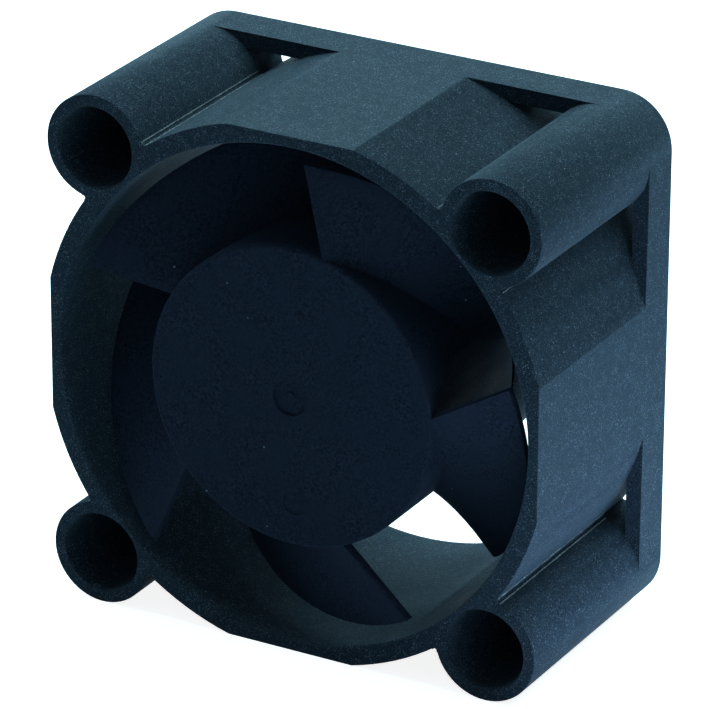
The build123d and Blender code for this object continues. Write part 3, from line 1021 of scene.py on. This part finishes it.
@dataclass
class Stator:
    """The lamination stack with its two bobbin halves, the windings and their pins. Sizes in millimetres."""

    paints: Paintbox
    poles: int = 4
    middle: float = 12.9
    thickness: float = 4.0
    sheets: int = 8
    sheet_gap: float = 0.03
    former_width: float = 3.0
    former_height: float = 5.6
    former_corner: float = 0.1
    coil_start: float = 5.5
    wire_r: float = 0.1
    turns: int = 8
    layers: int = 5
    layer_pitch: float = 0.173
    pin_r: float = 0.3
    pin_place: float = 5.9
    wrap_start: float = 8.2
    wrap_turns: int = 4
    wrap_wire_r: float = 0.08
    bobbin_edge: float = 0.06
    pin_edge: float = 0.05

    def core(self) -> None:
        """Splits the stack into its sheets."""
        pitch = self.thickness / self.sheets
        mesh = Node("stator_core").merged_copy("core_sheet")
        rear = -(self.middle - self.thickness / 2) * MM
        share = (pitch - self.sheet_gap) / self.thickness
        for corner in mesh.vertices:
            corner.co.y = rear + (corner.co.y - rear) * share
        sheets = stack_sheets().bake("core_sheets", mesh, self.paints.lamination, {
            "Sheets": self.sheets, "Step": (0.0, -(pitch + self.sheet_gap / (self.sheets - 1)) * MM, 0.0),
        })
        adopt(sheets, Body.HOUSING, self.paints.lamination, "stator_core")

    def windings(self) -> None:
        """Winds the coils turn by turn, and each wire's end round its pin."""
        copper = self.paints.copper
        winder = wind_turns(self.layers)
        for pole in range(self.poles):
            coil = winder.bake(f"winding_{pole + 1}", points_mesh("coil_place", [(0.0, 0.0, 0.0)]), copper, {
                "Width": self.former_width * MM, "Height": self.former_height * MM,
                "Corner": self.former_corner * MM, "Wire Radius": self.wire_r * MM,
                "Layer Pitch": self.layer_pitch * MM, "Turns": self.turns,
                "Start": ((self.coil_start + self.wire_r) * MM, 0.0, 0.0),
                "Step": (2 * self.wire_r * MM, 0.0, 0.0),
                "Loop Turn": (0.0, -math.pi / 2, 0.0),
                "Place": (0.0, -self.middle * MM, 0.0),
                "Turn": (0.0, -math.tau * pole / self.poles, 0.0),
            })
            adopt(coil, Body.HOUSING, copper, f"coil_{pole + 1}")
        wrapper = wind_turns(1)
        side = 2 * self.pin_r * MM
        for pin in range(self.poles):
            wrap = wrapper.bake(f"pin_wrap_{pin + 1}", points_mesh("pin_place", [(0.0, 0.0, 0.0)]), copper, {
                "Width": side, "Height": side, "Corner": self.pin_r * MM,
                "Wire Radius": self.wrap_wire_r * MM, "Turns": self.wrap_turns,
                "Step": (0.0, -2 * self.wrap_wire_r * MM, 0.0),
                "Loop Turn": (math.pi / 2, 0.0, 0.0),
                "Place": around(45 + 90 * pin, self.pin_place, self.wrap_start),
            })
            adopt(wrap, Body.HOUSING, copper)

    def build(self) -> None:
        """Builds the windings and the sheets, and paints the rest."""
        self.core()
        self.windings()
        for name in ("front_insulator", "rear_insulator"):
            Node(name).dress(self.paints.bobbin, self.bobbin_edge * MM)
        Node("terminal_pins").dress(self.paints.tin, self.pin_edge * MM)


@dataclass
class CircuitBoard:
    """The round board in the motor base with its chips and joints. Sizes in millimetres."""

    paints: Paintbox
    rear: float = 5.0
    front: float = 5.8
    pins: int = 4
    pin_place: float = 5.9
    pin_joint: Profile = (
        (0.29, 0.0), (0.62, 0.0), (0.50, -0.05), (0.40, -0.14), (0.34, -0.26), (0.31, -0.33), (0.29, -0.34),
    )
    pad_place: float = 8.2
    pad_angle: float = 210.0
    pad_spread: float = 1.1
    pad_height: float = 0.1
    pad_joint: Profile = (
        (0.0, 0.02), (0.62, 0.02), (0.58, -0.05), (0.46, -0.13), (0.28, -0.19), (0.10, -0.21), (0.0, -0.21),
    )
    joint_steps: int = 24
    driver_place: float = 6.8
    driver_half: float = 1.95
    leg_start: float = 0.01
    capacitors: tuple[float, ...] = (160.0, 190.0)
    capacitor_place: float = 7.6
    capacitor_size: Point = (2.0, 1.25, 1.2)
    resistors: tuple[float, ...] = (85.0, 105.0, 350.0)
    resistor_place: float = 7.8
    resistor_size: Point = (1.6, 0.8, 0.5)
    cap_length: float = 0.32
    cap_over: float = 0.03
    cap_edge: float = 0.04

    def joints(self, copier: Graph) -> None:
        """Solders the pins and the wire pads on the board's rear side.

        Args:
            copier: The group that places copies.
        """
        turn = math.radians(self.pad_angle)
        beside = Vector((-math.sin(turn) * self.pad_spread * MM, 0.0, math.cos(turn) * self.pad_spread * MM))
        pad = Vector(around(self.pad_angle, self.pad_place, self.rear - self.pad_height))
        pin_places = [around(45 + 90 * pin, self.pin_place, self.rear) for pin in range(self.pins)]
        for name, profile, places in (
            ("pin_solder", self.pin_joint, pin_places),
            ("pad_solder", self.pad_joint, [tuple(pad + beside * side) for side in (-1, 1)]),
        ):
            mesh = turned_mesh(name, profile, self.joint_steps)
            made = copier.bake(name + "_joints", points_mesh(name, places), self.paints.tin, {
                "Shape": bpy.data.objects.new(name, mesh),
            })
            adopt(made, Body.HOUSING, self.paints.tin)

    def end_caps(self, copier: Graph) -> None:
        """Puts the tinned ends on the chip parts.

        Args:
            copier: The group that places copies.
        """
        for name, size, place, angles in (
            ("capacitor_ends", self.capacitor_size, self.capacitor_place, self.capacitors),
            ("resistor_ends", self.resistor_size, self.resistor_place, self.resistors),
        ):
            length, width, height = size
            block = ((width + 2 * self.cap_over) * MM, (height + self.cap_over) * MM, self.cap_length * MM)
            mesh = block_mesh(name + "_shape", block, self.cap_edge * MM)
            along = (length + self.cap_over - self.cap_length) / 2
            places, turns = [], []
            for angle in angles:
                turn = math.radians(angle)
                spot = Vector(around(angle, place, self.front))
                way = Vector((-math.sin(turn), 0.0, math.cos(turn)))
                for side in (-1, 1):
                    places.append(tuple(spot + way * (side * along) * MM))
                    turns.append(-turn)
            made = copier.bake(name, points_mesh(name, places, turns), self.paints.tin, {
                "Shape": bpy.data.objects.new(mesh.name, mesh), "Size Spread": 0.0,
            })
            adopt(made, Body.HOUSING, self.paints.tin)

    def build(self) -> None:
        """Paints the board and its parts, and adds the solder."""
        for name, finish, edge in (
            ("circuit_board", self.paints.board, 0.05),
            ("driver_chip", self.paints.chip, 0.05),
            ("hall_sensor", self.paints.chip, 0.08),
            ("chip_capacitors", self.paints.ceramic, 0.06),
            ("chip_resistors", self.paints.chip, 0.04),
            ("wire_pads", self.paints.tin, 0.02),
        ):
            Node(name).dress(finish, edge * MM)
        beyond = (self.driver_half + self.leg_start) * MM
        middle = -self.driver_place * MM
        Node("driver_chip").paint_where(self.paints.tin, lambda spot: abs(spot.z - middle) > beyond)
        copier = place_copies()
        self.joints(copier)
        self.end_caps(copier)


@dataclass
class Lamp:
    """A softbox that faces the fan."""

    name: str
    place: Point
    width: float
    height: float
    power: float
    colour: Colour
    aim: Point = (0.0, -10 * MM, 0.0)
    spread: float = 180.0

    def build(self) -> None:
        """Hangs the lamp."""
        data = bpy.data.lights.new(self.name, "AREA")
        data.shape = "RECTANGLE"
        data.size, data.size_y = self.width, self.height
        data.energy = self.power
        data.color = self.colour
        data.spread = math.radians(self.spread)
        lamp = stand(self.name, data)
        lamp.visible_camera = False
        lamp.location = self.place
        lamp.rotation_euler = (Vector(self.aim) - Vector(self.place)).to_track_quat("-Z", "Y").to_euler()


@dataclass
class Studio:
    """The floor, the lamps, the room light and the camera."""

    floor_height: float = -20.0 * MM
    floor_half: float = 3.0
    floor_colour: Colour = (0.64, 0.71, 0.76)
    floor_patch: float = 0.4
    floor_patch_shade: float = 0.99
    floor_glow: float = 0.88
    room_light: float = 0.20
    room_colour: Colour = (0.60, 0.88, 1.0)
    camera_place: Point = (182.34 * MM, -334.13 * MM, 163.35 * MM)
    camera_aim: Point = (5.335 * MM, -20.0 * MM, 4.590 * MM)
    camera_roll: float = -0.0035
    camera_near: float = 10 * MM
    lens: float = 284.21
    sensor: float = 36.0
    lamps: tuple[Lamp, ...] = (
        Lamp("top_softbox", (-0.02, 0.15, 0.40), 0.90, 0.50, 4.35, (0.58, 0.96, 1.0)),
        Lamp("right_softbox", (0.50, 0.22, -0.02), 0.30, 0.06, 0.19, (0.54, 0.78, 1.0)),
        Lamp("floor_light", (0.038, -0.010, 0.0), 0.022, 0.06, 0.035, (0.62, 0.80, 1.0),
             aim=(0.038, -0.010, -0.02), spread=60.0),
        Lamp("rear_softbox", (-0.22, 0.45, 0.12), 0.30, 0.16, 1.7, (0.44, 0.84, 1.0)),
        Lamp("left_fill", (-0.50, -0.10, 0.04), 0.30, 0.20, 0.25, (0.25, 0.50, 1.0)),
    )

    def seen(self, nodes: Nodes) -> Socket:
        """Tells what is looked at from what gives light.

        Args:
            nodes: The tree under construction.

        Returns:
            A share that is 1 for what the camera, a reflection or glass shows, and 0 for light.
        """
        path = nodes.node("ShaderNodeLightPath").outputs
        total = path["Is Camera Ray"]
        for name in ("Is Glossy Ray", "Is Transmission Ray"):
            total = nodes.maths("MAXIMUM", total, path[name])
        return total

    def floor(self) -> None:
        """Lays a pale floor that stays white where it isn't in shadow."""
        half, level = self.floor_half, self.floor_height
        corners = [(-half, -half, level), (half, -half, level), (half, half, level), (-half, half, level)]
        mesh = bpy.data.meshes.new("floor")
        mesh.from_pydata(corners, [], [(0, 1, 2, 3)])
        sheet = Sheet("floor_paper")
        patches = sheet.spread(sheet.noise(self.floor_patch, 2.0), 0.0, 1.0)
        colour = sheet.blend(patches, self.floor_colour, shade(self.floor_colour, self.floor_patch_shade))
        paper = sheet.node("ShaderNodeBsdfDiffuse", {"Color": colour})
        strength = sheet.maths("MULTIPLY", self.seen(sheet), self.floor_glow)
        glow = sheet.node("ShaderNodeEmission", {"Strength": strength})
        both = sheet.node("ShaderNodeAddShader", {0: paper.outputs["BSDF"], 1: glow.outputs["Emission"]})
        mesh.materials.append(sheet.show(both.outputs["Shader"]))
        laid = stand("floor", mesh)

    def room(self) -> None:
        """Fills the room with soft light behind a white backdrop."""
        world = bpy.data.worlds.new("room")
        world.use_nodes = True
        world.node_tree.nodes.clear()
        nodes = Nodes(world.node_tree)
        light, white = (
            nodes.node("ShaderNodeBackground", {"Color": (*colour, 1.0), "Strength": strength})
            for colour, strength in ((self.room_colour, self.room_light), ((1.0, 1.0, 1.0), 1.0))
        )
        chosen = nodes.node("ShaderNodeMixShader", {
            "Fac": self.seen(nodes), 1: light.outputs["Background"], 2: white.outputs["Background"],
        })
        nodes.node("ShaderNodeOutputWorld", {"Surface": chosen.outputs["Shader"]})
        bpy.context.scene.world = world

    def camera(self) -> None:
        """Sets the camera where the photograph was taken from."""
        data = bpy.data.cameras.new("camera")
        data.sensor_fit = "HORIZONTAL"
        data.sensor_width = self.sensor
        data.lens = self.lens
        data.clip_start = self.camera_near
        forward = (Vector(self.camera_aim) - Vector(self.camera_place)).normalized()
        right = forward.cross(Vector((0.0, 0.0, 1.0))).normalized()
        up = right.cross(forward)
        turned = Matrix((right, up, -forward)).transposed().to_4x4()
        roll = Matrix.Rotation(-math.asin(self.camera_roll), 4, "Z")
        camera = stand("camera", data)
        camera.matrix_world = Matrix.Translation(self.camera_place) @ turned @ roll
        bpy.context.scene.camera = camera

    def build(self) -> None:
        """Sets up the whole studio."""
        self.camera()
        self.floor()
        self.room()
        for lamp in self.lamps:
            lamp.build()
        bpy.context.scene.view_settings.view_transform = "Standard"
        log.info("studio: %d lamps", len(self.lamps))


def main() -> None:
    """Builds the studio and dresses the fan, one sub-assembly at a time."""
    logging.basicConfig(level=logging.INFO, format="%(name)s %(message)s")
    paints = Paintbox()
    Studio().build()
    for assembly in (Housing, Impeller, RotorCore, Bearings, Stator, CircuitBoard):
        assembly(paints).build()


if __name__ == "__main__":
    main()
